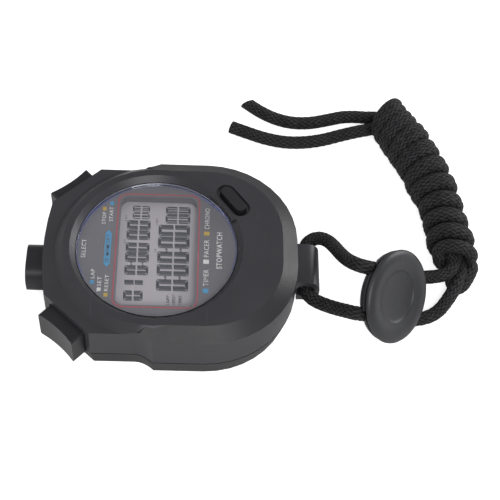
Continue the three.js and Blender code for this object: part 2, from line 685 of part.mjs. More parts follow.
const leafBack = facetReach - boardButtonInset;
const leafPlace = (side) => buttonFrame(side).multiply(at(0, leafBack - facetReach, -sideButton.centreZ));
add("start_stop_leaf", makeLeaf(), "bronze", leafPlace(1));
add("lap_reset_leaf", makeLeaf(), "bronze", leafPlace(-1));
add("select_leaf", makeLeaf(), "bronze", at(0, endY - boardButtonInset, 0));
add("mode_dome", makeModeDome(), "rubber", modeFrame.clone().multiply(at(0, 0, boardTopZ + fit)));

add("start_stop_button", makeSideButton(), "buttonBlack", buttonFrame(1));
add("lap_reset_button", makeSideButton(), "buttonBlack", buttonFrame(-1));
add("select_button", makeSelectButton(), "buttonBlack", selectFrame);
add("mode_button", makeModeButton(), "buttonBlack", modeFrame);

add("lanyard_slider", makeSlider(), "sliderGrey", sliderFrame());
add("cord_right", cordTube(strandRight, 34), "cord");
add("cord_left", cordTube(strandLeft, 32), "cord");
add("cord_hank", rod(hankAxis.map(([x, y]) => [x, y, hankZ]), hankR, 10, 14), "cord");
add("cord_end_upper", cordTube(freeEndUpper, 10), "cord");
add("cord_end_lower", cordTube(freeEndLower, 10), "cord");

export default stopwatch;
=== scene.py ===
# Digital sports stopwatch lying on its back, with its lanyard wound into a hank
# Metres: +Z comes out of the dial, +Y points at 12 o'clock, +X at 3 o'clock
import math

import bpy
from mathutils import Matrix, Vector, noise


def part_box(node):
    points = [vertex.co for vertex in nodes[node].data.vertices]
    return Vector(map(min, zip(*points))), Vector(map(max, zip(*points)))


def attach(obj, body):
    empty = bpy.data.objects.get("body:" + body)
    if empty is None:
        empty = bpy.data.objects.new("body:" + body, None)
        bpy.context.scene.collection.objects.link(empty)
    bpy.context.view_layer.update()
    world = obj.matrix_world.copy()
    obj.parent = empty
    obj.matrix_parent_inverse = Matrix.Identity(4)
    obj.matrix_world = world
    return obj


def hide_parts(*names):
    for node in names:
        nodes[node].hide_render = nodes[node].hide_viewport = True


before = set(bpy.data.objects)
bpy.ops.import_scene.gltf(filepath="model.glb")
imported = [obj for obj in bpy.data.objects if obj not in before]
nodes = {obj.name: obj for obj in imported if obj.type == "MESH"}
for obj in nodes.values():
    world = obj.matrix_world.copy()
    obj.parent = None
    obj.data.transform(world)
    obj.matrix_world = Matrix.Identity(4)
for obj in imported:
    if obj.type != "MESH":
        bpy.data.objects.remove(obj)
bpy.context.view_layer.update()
mm = 0.001
print("frame loaded:", len(nodes), "nodes")

# where the camera stands and which way it looks
viewpoint = {
    "place": (-0.20656, -0.01137, 0.32548),
    "right": (0.00036, -0.99880, 0.04900),
    "up": (0.82955, 0.02766, 0.55774),
    "forward": (0.55843, -0.04044, -0.82857),
    "lens": 94.1,
}

bpy.ops.object.camera_add(location=viewpoint["place"])
camera = bpy.context.object
camera.name = "camera"
back = -Vector(viewpoint["forward"])
turn = Matrix((viewpoint["right"], viewpoint["up"], back)).transposed()
camera.rotation_euler = turn.to_euler()
camera.data.lens = viewpoint["lens"]
camera.data.clip_start = 0.01
bpy.context.scene.camera = camera
bpy.context.scene.view_settings.view_transform = "Standard"


def clearSelection():
    if bpy.context.object and bpy.context.object.mode != "OBJECT":
        bpy.ops.object.mode_set(mode="OBJECT")
    bpy.ops.object.select_all(action="DESELECT")


def takeUp(piece):
    clearSelection()
    piece.select_set(True)
    bpy.context.view_layer.objects.active = piece


def placeIntoMesh(piece):
    # the place goes into the mesh and the object stays at the origin
    takeUp(piece)
    bpy.ops.object.transform_apply(location=True, rotation=True, scale=True)
    return piece


def selectFaces(piece, wanted):
    # leaves edit mode on, with the wanted faces selected
    takeUp(piece)
    bpy.ops.object.mode_set(mode="EDIT")
    bpy.ops.mesh.select_mode(type="FACE")
    bpy.ops.mesh.select_all(action="DESELECT")
    bpy.ops.object.mode_set(mode="OBJECT")
    for face in piece.data.polygons:
        face.select = wanted(face)
    bpy.ops.object.mode_set(mode="EDIT")


def finishModifier(piece, kind, **settings):
    takeUp(piece)
    modifier = piece.modifiers.new(kind.lower(), kind)
    for name, value in settings.items():
        setattr(modifier, name, value)
    bpy.ops.object.modifier_apply(modifier=modifier.name)


def smooth(piece, degrees=35):
    takeUp(piece)
    bpy.ops.object.shade_smooth_by_angle(angle=math.radians(degrees))


def fairCopy(nodeName, pieceName, edge=0.0, segments=2, sharp=20, smoothing=20):
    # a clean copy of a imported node, its loose triangles joined up and its edges rounded
    piece = bpy.data.objects.new(pieceName, nodes[nodeName].data.copy())
    bpy.context.scene.collection.objects.link(piece)
    takeUp(piece)
    bpy.ops.object.mode_set(mode="EDIT")
    bpy.ops.mesh.select_all(action="SELECT")
    bpy.ops.mesh.remove_doubles(threshold=0.002 * mm)
    bpy.ops.mesh.dissolve_limited(angle_limit=math.radians(0.5))
    bpy.ops.object.mode_set(mode="OBJECT")
    if edge:
        finishModifier(
            piece, "BEVEL", width=edge, segments=segments, limit_method="ANGLE",
            angle_limit=math.radians(sharp), use_clamp_overlap=True,
        )
    smooth(piece, smoothing)
    finishModifier(piece, "WEIGHTED_NORMAL", weight=100, keep_sharp=True)
    return piece


def finish(piece, body, slot, *replaced):
    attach(piece, body)
    if replaced:
        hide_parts(*replaced)
    return piece


def dress(piece, *materials):
    piece.data.materials.clear()
    for material in materials:
        piece.data.materials.append(material)


def newGroup(name, inputs, outputs):
    group = bpy.data.node_groups.new(name, "ShaderNodeTree")
    for label, kind, value in inputs:
        socket = group.interface.new_socket(label, in_out="INPUT", socket_type="NodeSocket" + kind)
        socket.default_value = value
    for label, kind in outputs:
        group.interface.new_socket(label, in_out="OUTPUT", socket_type="NodeSocket" + kind)
    entry = group.nodes.new("NodeGroupInput")
    leave = group.nodes.new("NodeGroupOutput")
    return group, entry, leave


def addNode(tree, kind, inputs=None, **settings):
    node = tree.nodes.new("ShaderNode" + kind)
    for name, value in settings.items():
        setattr(node, name, value)
    for name, value in (inputs or {}).items():
        if isinstance(value, bpy.types.NodeSocket):
            tree.links.new(value, node.inputs[name])
        else:
            node.inputs[name].default_value = value
    return node


def maths(tree, operation, first, second=None):
    node = tree.nodes.new("ShaderNodeMath")
    node.operation = operation
    for i, value in enumerate((first, second)):
        if isinstance(value, bpy.types.NodeSocket):
            tree.links.new(value, node.inputs[i])
        elif value is not None:
            node.inputs[i].default_value = value
    return node.outputs[0]


def spread(tree, value, low, high, toLow, toHigh):
    ends = {"From Min": low, "From Max": high, "To Min": toLow, "To Max": toHigh}
    node = addNode(tree, "MapRange", {"Value": value, **ends})
    return node.outputs["Result"]


def buildMouldedSkin():
    # spark-eroded mould texture: fine grain in the height, slow cloudiness in the tone
    group, entry, leave = newGroup(
        "moulded skin",
        [("Grain", "Float", 2500.0), ("Cloud", "Float", 60.0), ("Scuff", "Float", 140.0)],
        [("Height", "Float"), ("Tone", "Float"), ("Scuffs", "Float")],
    )
    place = addNode(group, "TexCoord").outputs["Object"]
    fine = entry.outputs["Grain"]
    grain = addNode(group, "TexNoise", {"Vector": place, "Scale": fine, "Detail": 2.0, "Roughness": 0.6})
    pits = addNode(group, "TexVoronoi", {"Vector": place, "Scale": fine})
    pitted = maths(group, "MULTIPLY", pits.outputs["Distance"], 0.5)
    height = maths(group, "ADD", grain.outputs["Fac"], pitted)
    coarse = entry.outputs["Cloud"]
    cloud = addNode(group, "TexNoise", {"Vector": place, "Scale": coarse, "Detail": 4.0, "Roughness": 0.6})
    drawnOut = {"Vector": place, "Rotation": (0.3, 0.5, 0.7), "Scale": (1.0, 9.0, 1.0)}
    stretch = addNode(group, "Mapping", drawnOut)
    streaks = {"Vector": stretch.outputs[0], "Scale": entry.outputs["Scuff"], "Detail": 3.0}
    scuff = addNode(group, "TexNoise", streaks)
    group.links.new(height, leave.inputs["Height"])
    group.links.new(spread(group, cloud.outputs["Fac"], 0.3, 0.7, 0.0, 1.0), leave.inputs["Tone"])
    group.links.new(spread(group, scuff.outputs["Fac"], 0.66, 0.78, 0.0, 1.0), leave.inputs["Scuffs"])
    return group


def buildBraid():
    # two families of strands that pass over and under each other, in the cord's own UV
    group, entry, leave = newGroup(
        "braid",
        [("Strands", "Float", 10.0), ("Threads", "Float", 3.0)],
        [("Height", "Float"), ("CreviceShade", "Float"), ("Tone", "Float")],
    )
    uv = addNode(group, "SeparateXYZ", {"Vector": addNode(group, "TexCoord").outputs["UV"]})
    around = maths(group, "MULTIPLY", uv.outputs["X"], entry.outputs["Strands"])
    leanOne = maths(group, "ADD", around, uv.outputs["Y"])
    leanTwo = maths(group, "SUBTRACT", around, uv.outputs["Y"])
    ridges, fibres = [], []
    for lean in (leanOne, leanTwo):
        part = maths(group, "FRACT", lean)
        away = maths(group, "ABSOLUTE", maths(group, "SUBTRACT", part, 0.5))
        fall = maths(group, "POWER", maths(group, "MULTIPLY", away, 2.0), 2.0)
        ridges.append(maths(group, "SUBTRACT", 1.0, fall))
        thread = maths(group, "FRACT", maths(group, "MULTIPLY", lean, entry.outputs["Threads"]))
        fibres.append(maths(group, "ABSOLUTE", maths(group, "SUBTRACT", thread, 0.5)))
    parity = maths(group, "ADD", maths(group, "FLOOR", leanOne), maths(group, "FLOOR", leanTwo))
    turnOver = maths(group, "ABSOLUTE", maths(group, "MODULO", parity, 2.0))
    ridge = addNode(group, "Mix", {"Factor": turnOver, "A": ridges[0], "B": ridges[1]}, data_type="FLOAT")
    fibre = addNode(group, "Mix", {"Factor": turnOver, "A": fibres[0], "B": fibres[1]}, data_type="FLOAT")
    strand = ridge.outputs["Result"]
    woven = maths(group, "ADD", strand, maths(group, "MULTIPLY", fibre.outputs["Result"], 0.45))
    place = addNode(group, "TexCoord").outputs["Object"]
    fuzz = addNode(group, "TexNoise", {"Vector": place, "Scale": 5200.0, "Detail": 3.0})
    blotch = addNode(group, "TexNoise", {"Vector": place, "Scale": 330.0, "Detail": 3.0})
    fineTone = maths(group, "MULTIPLY", fuzz.outputs["Fac"], 0.6)
    tone = maths(group, "ADD", fineTone, maths(group, "MULTIPLY", blotch.outputs["Fac"], 0.4))
    height = maths(group, "ADD", woven, maths(group, "MULTIPLY", fuzz.outputs["Fac"], 0.5))
    group.links.new(height, leave.inputs["Height"])
    # the crevice output is painted shade, full in the hollows where no strand rises
    group.links.new(spread(group, strand, 0.35, 1.0, 1.0, 0.0), leave.inputs["CreviceShade"])
    group.links.new(spread(group, tone, 0.3, 0.7, 0.0, 1.0), leave.inputs["Tone"])
    return group


def buildMetalSkin():
    # drawn or rolled metal: fine lines in the height, faint tarnish in the tone
    group, entry, leave = newGroup(
        "metal skin",
        [("Lines", "Float", 1800.0), ("Stain", "Float", 500.0)],
        [("Height", "Float"), ("Tone", "Float")],
    )
    place = addNode(group, "TexCoord").outputs["Object"]
    stretch = addNode(group, "Mapping", {"Vector": place, "Scale": (0.08, 1.0, 1.0)})
    drawn = {"Vector": stretch.outputs[0], "Scale": entry.outputs["Lines"], "Detail": 2.0}
    lines = addNode(group, "TexNoise", drawn)
    stain = addNode(group, "TexNoise", {"Vector": place, "Scale": entry.outputs["Stain"], "Detail": 4.0})
    group.links.new(lines.outputs["Fac"], leave.inputs["Height"])
    group.links.new(spread(group, stain.outputs["Fac"], 0.35, 0.65, 0.0, 1.0), leave.inputs["Tone"])
    return group


skinGroup = buildMouldedSkin()
braidGroup = buildBraid()
metalGroup = buildMetalSkin()


def newMaterial(name):
    material = bpy.data.materials.new(name)
    material.use_nodes = True
    tree = material.node_tree
    return material, tree, tree.nodes["Principled BSDF"]


def useGroup(tree, group, **values):
    node = tree.nodes.new("ShaderNodeGroup")
    node.node_tree = group
    for name, value in values.items():
        node.inputs[name].default_value = value
    return node


def blendColours(tree, factor, first, second):
    node = addNode(tree, "Mix", {}, data_type="RGBA")
    tree.links.new(factor, node.inputs["Factor"])
    for socket, colour in ((node.inputs["A"], first), (node.inputs["B"], second)):
        if isinstance(colour, bpy.types.NodeSocket):
            tree.links.new(colour, socket)
        else:
            socket.default_value = (*colour, 1.0)
    return node.outputs["Result"]


def varyRoughness(tree, shader, tone, ends):
    tree.links.new(spread(tree, tone, 0.0, 1.0, *ends), shader.inputs["Roughness"])


def addBump(tree, shader, height, strength, distance):
    bump = addNode(tree, "Bump", {"Height": height, "Strength": strength, "Distance": distance})
    tree.links.new(bump.outputs["Normal"], shader.inputs["Normal"])


def mouldedPlastic(name, dark, light, rough, grain, depth, relief=0.25, specular=0.5, cloud=60.0):
    # dark and light are the ends of its cloudiness, rough the ends of its roughness
    material, tree, shader = newMaterial(name)
    skin = useGroup(tree, skinGroup, Grain=grain, Cloud=cloud)
    colour = blendColours(tree, skin.outputs["Tone"], dark, light)
    scuffs = maths(tree, "MULTIPLY", skin.outputs["Scuffs"], 0.35)
    worn = blendColours(tree, scuffs, colour, [min(1.0, c * 1.9) for c in light])
    tree.links.new(worn, shader.inputs["Base Color"])
    varyRoughness(tree, shader, skin.outputs["Tone"], rough)
    shader.inputs["Specular IOR Level"].default_value = specular
    addBump(tree, shader, skin.outputs["Height"], relief, depth * mm)
    return material


def metal(name, dark, light, rough, lines=1800.0):
    material, tree, shader = newMaterial(name)
    skin = useGroup(tree, metalGroup, Lines=lines)
    tree.links.new(blendColours(tree, skin.outputs["Tone"], dark, light), shader.inputs["Base Color"])
    varyRoughness(tree, shader, skin.outputs["Tone"], rough)
    shader.inputs["Metallic"].default_value = 1.0
    addBump(tree, shader, skin.outputs["Height"], 0.12, 0.02 * mm)
    return material


def clearPlastic(name, tint, rough):
    # lamps and soft light pass straight through, the eye sees the gloss
    material, tree, shader = newMaterial(name)
    shader.inputs["Transmission Weight"].default_value = 1.0
    shader.inputs["IOR"].default_value = 1.49
    skin = useGroup(tree, skinGroup, Grain=900.0, Cloud=90.0)
    varyRoughness(tree, shader, skin.outputs["Tone"], rough)
    colour = blendColours(tree, skin.outputs["Tone"], tint, [min(1.0, c * 1.02) for c in tint])
    tree.links.new(colour, shader.inputs["Base Color"])
    rays = tree.nodes.new("ShaderNodeLightPath")
    either = maths(tree, "MAXIMUM", rays.outputs["Is Shadow Ray"], rays.outputs["Is Diffuse Ray"])
    clear = addNode(tree, "BsdfTransparent", {"Color": (*tint, 1.0)})
    mix = addNode(tree, "MixShader", {0: either, 1: shader.outputs[0], 2: clear.outputs[0]})
    tree.links.new(mix.outputs[0], tree.nodes["Material Output"].inputs["Surface"])
    return material


print("shader groups ready")

# a white floor, an even sky and three soft lamps
studio = {
    "floor": 6.0,
    "floorSink": 0.05,  # how far the floor lies under the case, so that the two faces don't flicker
    "floorColour": (0.93, 0.93, 0.93),
    "floorGlow": 0.75,
    "skyStrength": 0.34,
    "aim": (0.01, -0.02, 0.01),
    "lamps": [
        {"name": "keyLamp", "place": (-0.6, -0.16, 0.7), "size": 0.42, "watts": 3.8},
        {"name": "topLamp", "place": (0.12, 0.75, 0.8), "size": 0.6, "watts": 1.3},
        {"name": "sideLamp", "place": (0.45, -0.75, 0.3), "size": 0.4, "watts": 3.4},
    ],
}

clearSelection()
bpy.ops.mesh.primitive_plane_add(size=studio["floor"], location=(0, 0, -studio["floorSink"] * mm))
floor = bpy.context.object
floor.name = "floor"
floorMaterial, floorTree, floorShader = newMaterial("studio floor")
floorSkin = useGroup(floorTree, skinGroup, Grain=400.0, Cloud=3.0)
floorLight = [c * 1.02 for c in studio["floorColour"]]
floorTone = blendColours(floorTree, floorSkin.outputs["Tone"], studio["floorColour"], floorLight)
floorTree.links.new(floorTone, floorShader.inputs["Base Color"])
floorShader.inputs["Roughness"].default_value = 0.9
floorShader.inputs["Specular IOR Level"].default_value = 0.1
floorShader.inputs["Emission Color"].default_value = (1, 1, 1, 1)
floorRays = floorTree.nodes.new("ShaderNodeLightPath")
floorGlow = maths(floorTree, "MULTIPLY", floorRays.outputs["Is Camera Ray"], studio["floorGlow"])
floorTree.links.new(floorGlow, floorShader.inputs["Emission Strength"])
dress(floor, floorMaterial)

world = bpy.data.worlds.new("studio sky")
bpy.context.scene.world = world
world.use_nodes = True
sky = world.node_tree.nodes["Background"]
sky.inputs["Color"].default_value = (1, 1, 1, 1)
sky.inputs["Strength"].default_value = studio["skyStrength"]

for lamp in studio["lamps"]:
    bpy.ops.object.light_add(type="AREA", location=lamp["place"])
    lampObject = bpy.context.object
    lampObject.name = lamp["name"]
    lampObject.data.size = lamp["size"]
    lampObject.data.energy = lamp["watts"]
    aim = Vector(studio["aim"]) - Vector(lamp["place"])
    lampObject.rotation_euler = aim.to_track_quat("-Z", "Y").to_euler()
print("stage ready")

# one cord, made as two halves that meet in the lug's bore, with a raised braid round them
lanyard = {
    "diameter": 3.9,
    "sides": 24,
    "ringStep": 0.45,
    "braidDepth": 0.2,
    "strands": 10,
    "braidPitch": 2.1,
    "half": 0.57,  # length of each half, in metres
    "easing": 8,
    "exitX": 6.7,
    "exitY": -42.6,
    "exitZ": 8.5,
    "cutLength": 2.0,  # stretch at the free end that a slanting cut leans
}
# centre lines in millimetres, from the middle of the lug's bore to the hank
rightLead = [
    (0.3, -42.6, 8.5), (4.5, -42.6, 8.5), (8, -42.9, 8.5), (10.7, -44.4, 8.7), (11.4, -46.9, 9.4),
    (9.8, -49.2, 10.7), (6.3, -51, 12.8), (2, -52.3, 15.8), (-2.4, -53.7, 19.3), (-6, -55.3, 22.7),
    (-8.1, -56.9, 24.7), (-8.56, -58.16, 24.81), (-7.96, -59.56, 23.52), (-6.46, -63.07, 20.29),
    (-4.95, -66.57, 17.06), (-3.45, -70.08, 13.83), (-1.94, -73.58, 10.6), (-1.34, -74.98, 9.31),
    (-0.5, -77.2, 7.9), (0.2, -79.8, 7.2), (0.7, -82.4, 7.1), (1.7, -84.9, 7.5), (4.1, -86.6, 8),
]
leftLead = [
    (-0.3, -42.6, 8.5), (-4.5, -42.6, 8.5), (-7.6, -43.3, 8.5), (-9.8, -45.3, 8.8), (-12, -48.3, 9.9),
    (-14.6, -51.3, 12.3), (-17.4, -53.9, 15.6), (-19, -55.4, 17.4), (-19.14, -56.2, 17.5),
    (-18.54, -57.42, 16.28), (-17.04, -60.93, 13.05), (-15.53, -64.43, 9.82), (-14.03, -67.94, 6.59),
    (-12.52, -71.44, 3.36), (-11.9, -72.9, 2.05), (-11.3, -74.8, 1.96), (-10.9, -77.2, 1.96),
    (-9.9, -79.9, 2.0), (-7.9, -82.6, 2.2), (-5, -85, 3.2), (-1.4, -87.3, 4.3), (4.6, -89.3, 4.9),
]
upperEnd = [
    (64.3, -67.5, 2.0), (64.1, -64.5, 2.0), (64.3, -61.5, 2.0), (64, -57, 2.0), (62.6, -52, 2.0),
    (61.2, -46.5, 2.0), (61, -41, 2.0), (62.2, -36, 2.0), (64.8, -31, 2.0), (68.5, -26.2, 2.0),
]
lowerEnd = [
    (60.2, -68.5, 2.0), (59.3, -65.6, 2.0), (58.2, -61.5, 2.0), (56.4, -56, 2.0), (54.3, -50, 2.0),
    (53.1, -44, 2.0), (53, -38, 2.0), (54.3, -31.8, 2.0), (56.4, -26.2, 2.0), (58.5, -21.1, 2.0),
]
# the loop that the left half makes below the hank before its turns begin
lowerLoop = [
    (3.6, -86.8, 4.8), (0.9, -86.7, 3.2), (-0.7, -87.9, 2.4), (0.3, -89.8, 2.5),
    (3.6, -92.0, 3.1), (7.4, -93.3, 3.2),
]

# both halves wound side by side round their own inner runs
hank = {
    "axis": [(5.6, -87.2), (15, -86.4), (30, -83.8), (45, -78.0), (57.5, -71.6), (65.6, -68.8)],
    # distance along the hank, radius of the turns' centre line, lean of the turns in degrees
    "girth": [
        (0, 5.3, -23), (6, 5.25, -23), (13, 4.85, -22), (22, 4.85, -18), (28, 5.2, -13), (36, 5.4, -6),
        (46, 5.6, 3), (53, 5.2, 12), (59, 4.5, 20), (64, 3.9, 26),
    ],
    "turns": 9,
    "turnStep": 20,  # degrees from one point of a turn to the next
    "core": 1.3,  # how far each run inside the hank lies from its middle line
    "coreStations": [4, 10, 18, 26, 34, 42, 50, 56],
    "fold": 58.5,
    "axisStep": 0.5,
    "bulge": {"at": 27.5, "width": 3.0, "rise": 0.9},
    "waver": {"along": 0.22, "out": 0.2},  # how unevenly the turns lie
}


def smoothLine(points, step):
    # a centripetal spline through the points, walked in equal steps
    pts = [Vector(p) for p in points]
    pts = [pts[0] * 2 - pts[1]] + pts + [pts[-1] * 2 - pts[-2]]
    dense = []
    for a, b, c, d in zip(pts, pts[1:], pts[2:], pts[3:]):
        t0 = 0.0
        t1 = t0 + max((b - a).length, 1e-6) ** 0.5
        t2 = t1 + max((c - b).length, 1e-6) ** 0.5
        t3 = t2 + max((d - c).length, 1e-6) ** 0.5
        pieces = max(2, int((c - b).length / (0.2 * step)))
        for k in range(pieces):
            t = t1 + (t2 - t1) * k / pieces
            ab = a.lerp(b, (t - t0) / (t1 - t0))
            bc = b.lerp(c, (t - t1) / (t2 - t1))
            cd = c.lerp(d, (t - t2) / (t3 - t2))
            abc = ab.lerp(bc, (t - t0) / (t2 - t0))
            bcd = bc.lerp(cd, (t - t1) / (t3 - t1))
            dense.append(abc.lerp(bcd, (t - t1) / (t2 - t1)))
    dense.append(pts[-2])
    walked, gone = [dense[0]], 0.0
    for p, q in zip(dense, dense[1:]):
        span = (q - p).length
        while gone + span >= step:
            p = p.lerp(q, (step - gone) / span)
            span = (q - p).length
            gone = 0.0
            walked.append(p.copy())
        gone += span
    if gone > 0.3 * step:
        walked.append(dense[-1])
    return walked


def readGirth(distance, column):
    table = hank["girth"]
    for low, high in zip(table, table[1:]):
        if distance <= high[0]:
            share = max(0.0, (distance - low[0]) / (high[0] - low[0]))
            return low[column] + (high[column] - low[column]) * share * share * (3 - 2 * share)
    return table[-1][column]


axisLine = smoothLine([(x, y, 0) for x, y in hank["axis"]], hank["axisStep"])


def hankPoint(distance, side, rise):
    # side is measured to the right of the hank as it runs, rise from its middle line
    index = min(max(distance / hank["axisStep"], 0.0), len(axisLine) - 2.0)
    whole = int(index)
    along = (axisLine[whole + 1] - axisLine[whole]).normalized()
    middle = axisLine[whole] + along * (distance - whole * hank["axisStep"])
    across = along.cross(Vector((0, 0, 1)))
    middle.z = readGirth(distance, 1) + lanyard["diameter"] / 2 + 0.05
    return middle + across * side + Vector((0, 0, rise))


def hankTurns(startAngle, startDistance, endDistance, seed):
    # from the slider's end to the far end, over the top from left to right
    endAngle = -90 - 360 * hank["turns"]
    pitch = (endDistance - startDistance) / (startAngle - endAngle) * 360
    waver, bulge = hank["waver"], hank["bulge"]
    points = []
    angle = startAngle
    while angle > endAngle - 1:
        distance = startDistance + (startAngle - angle) / 360 * pitch
        distance += waver["along"] * noise.noise(Vector((distance * 0.35, seed, 0.0)))
        cosine, sine = math.cos(math.radians(angle)), math.sin(math.radians(angle))
        radius = readGirth(distance, 1) + waver["out"] * noise.noise(Vector((distance * 0.5, seed, 4.0)))
        away = (distance - bulge["at"]) / bulge["width"]
        radius += bulge["rise"] * max(0.0, -cosine) * math.exp(-(away ** 2))
        lean = radius * math.tan(math.radians(readGirth(distance, 2))) * cosine
        points.append(hankPoint(distance + lean, radius * cosine, radius * sine))
        angle -= hank["turnStep"]
    return points


def easeKinks(points, passes):
    # draws every sharp corner out a little, as a limp cord does
    for _ in range(passes):
        eased = [a * 0.25 + b * 0.5 + c * 0.25 for a, b, c in zip(points, points[1:], points[2:])]
        points = [points[0], *eased, points[-1]]
    return points


def buildCordPath(lead, side, rise, joining, turns, tail):
    # the cord runs up inside the hank, folds, comes back beside itself and is then wound round both runs
    across, upRise = side * hank["core"], rise * hank["core"]
    up = [hankPoint(station, across, upRise) for station in hank["coreStations"]]
    fold = hankPoint(hank["fold"], across, 0.0)
    down = [hankPoint(station, across, -upRise) for station in reversed(hank["coreStations"])]
    line = smoothLine([*lead, *up, fold, *down, *joining, *turns, *tail], lanyard["ringStep"])
    return easeKinks(line, lanyard["easing"])


def braidHeight(u, v):
    one, two = u * lanyard["strands"] + v, u * lanyard["strands"] - v
    parity = (math.floor(one) + math.floor(two)) % 2
    part = (one if parity == 0 else two) % 1.0
    return 1.0 - abs(part * 2 - 1) ** 2


def buildCord(name, path, cutLean):
    # a tube that follows the path without twisting, its skin raised where a strand passes over
    sides, radius, cutLength = lanyard["sides"], lanyard["diameter"] / 2, lanyard["cutLength"]
    tangent = (path[1] - path[0]).normalized()
    across = tangent.orthogonal().normalized()
    verts, uvs = [], []
    for i, centre in enumerate(path):
        nextTangent = (path[min(i + 1, len(path) - 1)] - path[max(i - 1, 0)]).normalized()
        across.rotate(tangent.rotation_difference(nextTangent))
        across = (across - nextTangent * across.dot(nextTangent)).normalized()
        tangent = nextTangent
        third = tangent.cross(across)
        v = i * lanyard["ringStep"] / lanyard["braidPitch"]
        toEnd = (len(path) - 1 - i) * lanyard["ringStep"]
        for k in range(sides):
            u = k / sides
            angle = 2 * math.pi * u
            swell = radius + lanyard["braidDepth"] * (braidHeight(u, v) - 0.5)
            point = centre + (across * math.cos(angle) + third * math.sin(angle)) * swell
            if toEnd < cutLength:
                point += tangent * cutLean * math.cos(angle) * (1 - toEnd / cutLength)
            verts.append(point * mm)
            uvs.append((u, v))
    faces, corners = [], []
    last = (len(path) - 1) * sides
    for here in range(0, last, sides):
        there = here + sides
        for k in range(sides):
            n = (k + 1) % sides
            faces.append((here + k, here + n, there + n, there + k))
            wrap = 1.0 if n == 0 else uvs[n][0]
            corners += [uvs[here + k], (wrap, uvs[here][1]), (wrap, uvs[there][1]), uvs[there + k]]
    faces.append(tuple(reversed(range(sides))))
    faces.append(tuple(last + k for k in range(sides)))
    corners += [(0.5, 0.0)] * (2 * sides)
    mesh = bpy.data.meshes.new(name)
    mesh.from_pydata(verts, [], faces)
    layer = mesh.uv_layers.new(name="cordUV")
    for corner, uv in zip(layer.data, corners):
        corner.uv = uv
    cord = bpy.data.objects.new(name, mesh)
    bpy.context.scene.collection.objects.link(cord)
    smooth(cord, 60)
    return cord


leftTurns = hankTurns(-95, 4.4, 58.6, 1.0)
rightTurns = hankTurns(150, 1.1, 61.4, 7.0)
rightJoin = [hankPoint(1.5, -2.2, -2.2), hankPoint(0.2, -4.2, -0.4)]
leftPath = buildCordPath(leftLead, 1, -1, lowerLoop, leftTurns, lowerEnd)
rightPath = buildCordPath(rightLead, -1, 1, rightJoin, rightTurns, upperEnd)

cordMaterial, cordTree, cordShader = newMaterial("braided cord")
cordBraid = useGroup(cordTree, braidGroup, Strands=lanyard["strands"], Threads=3.0)
# the first colour is the near-black end of the cord's tone and also the painted shade laid in the hollows
# between strands
cordDarkAndShade, cordLit = (0.0008, 0.0008, 0.001), (0.075, 0.075, 0.081)
cordTone = cordBraid.outputs["Tone"]
cordBase = blendColours(cordTree, cordTone, cordDarkAndShade, cordLit)
# the hollows between strands get painted shade
cordColour = blendColours(cordTree, cordBraid.outputs["CreviceShade"], cordBase, cordDarkAndShade)
cordTree.links.new(cordColour, cordShader.inputs["Base Color"])
varyRoughness(cordTree, cordShader, cordTone, (0.45, 0.8))
cordShader.inputs["Specular IOR Level"].default_value = 0.28
addBump(cordTree, cordShader, cordBraid.outputs["Height"], 1.0, 0.25 * mm)

for name, path, side, replaced, lean in (
    ("cordRightHalf", rightPath, 1, ("cord_right", "cord_hank", "cord_end_upper"), 1.1),
    ("cordLeftHalf", leftPath, -1, ("cord_left", "cord_end_lower"), 0.1),
):
    cord = buildCord(name, path, lean)
    dress(cord, cordMaterial)
    finish(cord, "case", "cord_black", *replaced)
    length = sum((q - p).length for p, q in zip(path, path[1:]))
    print(name, "length", round(length, 1), "mm,", len(cord.data.polygons), "faces")

# one black plastic in three copies: the deck's, and the band's and the back's, which are darker by painted
# shade
caseBlack = mouldedPlastic(
    "case black", (0.036, 0.0355, 0.0415), (0.042, 0.0415, 0.048), (0.36, 0.44), 2600, 0.015, 0.2,
)
bandShadedBlack = mouldedPlastic(
    "case band shaded", (0.0125, 0.0122, 0.0148), (0.0205, 0.02, 0.0238), (0.38, 0.5), 2100, 0.05, 0.6,
)
# the back's copy of the case plastic, darker by painted shade
backShadedBlack = mouldedPlastic(
    "back shaded black", (0.0095, 0.0092, 0.0115), (0.0135, 0.013, 0.016), (0.42, 0.52), 2300, 0.03, 0.35,
)

# the band is the sloping strip round the face, known by its tilt and its height; it has a coarser grain than
# the deck, and its darker colour is painted shade
caseShell = {"edge": 0.28, "backEdge": 0.25, "bandTilt": (0.80, 0.90), "bandFrom": 17.6}
frontShell = fairCopy("front_case", "frontShell", caseShell["edge"] * mm)
dress(frontShell, caseBlack, bandShadedBlack)
low, high = caseShell["bandTilt"]
for face in frontShell.data.polygons:
    face.material_index = int(low < face.normal.z < high and face.center.z > caseShell["bandFrom"] * mm)
finish(frontShell, "case", "case_black", "front_case")

backShell = fairCopy("back_case", "backShell", caseShell["backEdge"] * mm)
dress(backShell, backShadedBlack)
finish(backShell, "case", "case_black", "back_case")
print("case ready:", len(frontShell.data.polygons), len(backShell.data.polygons), "faces")

buttonBlack = mouldedPlastic(
    "button black", (0.015, 0.0148, 0.018), (0.021, 0.0206, 0.025), (0.32, 0.4), 2600, 0.02, 0.25,
)
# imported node, piece, body and rounding of its edges
keys = [
    ("start_stop_button", "startStopKey", "start_stop", 0.3),
    ("lap_reset_button", "lapResetKey", "lap_reset", 0.3),
    ("select_button", "selectKey", "select", 0.4),
    ("mode_button", "modeKey", "mode", 0.2),
]
for node, name, body, edge in keys:
    key = fairCopy(node, name, edge * mm, segments=3, sharp=30, smoothing=25)
    dress(key, buttonBlack)
    finish(key, body, "button_black", node)
print("buttons ready")

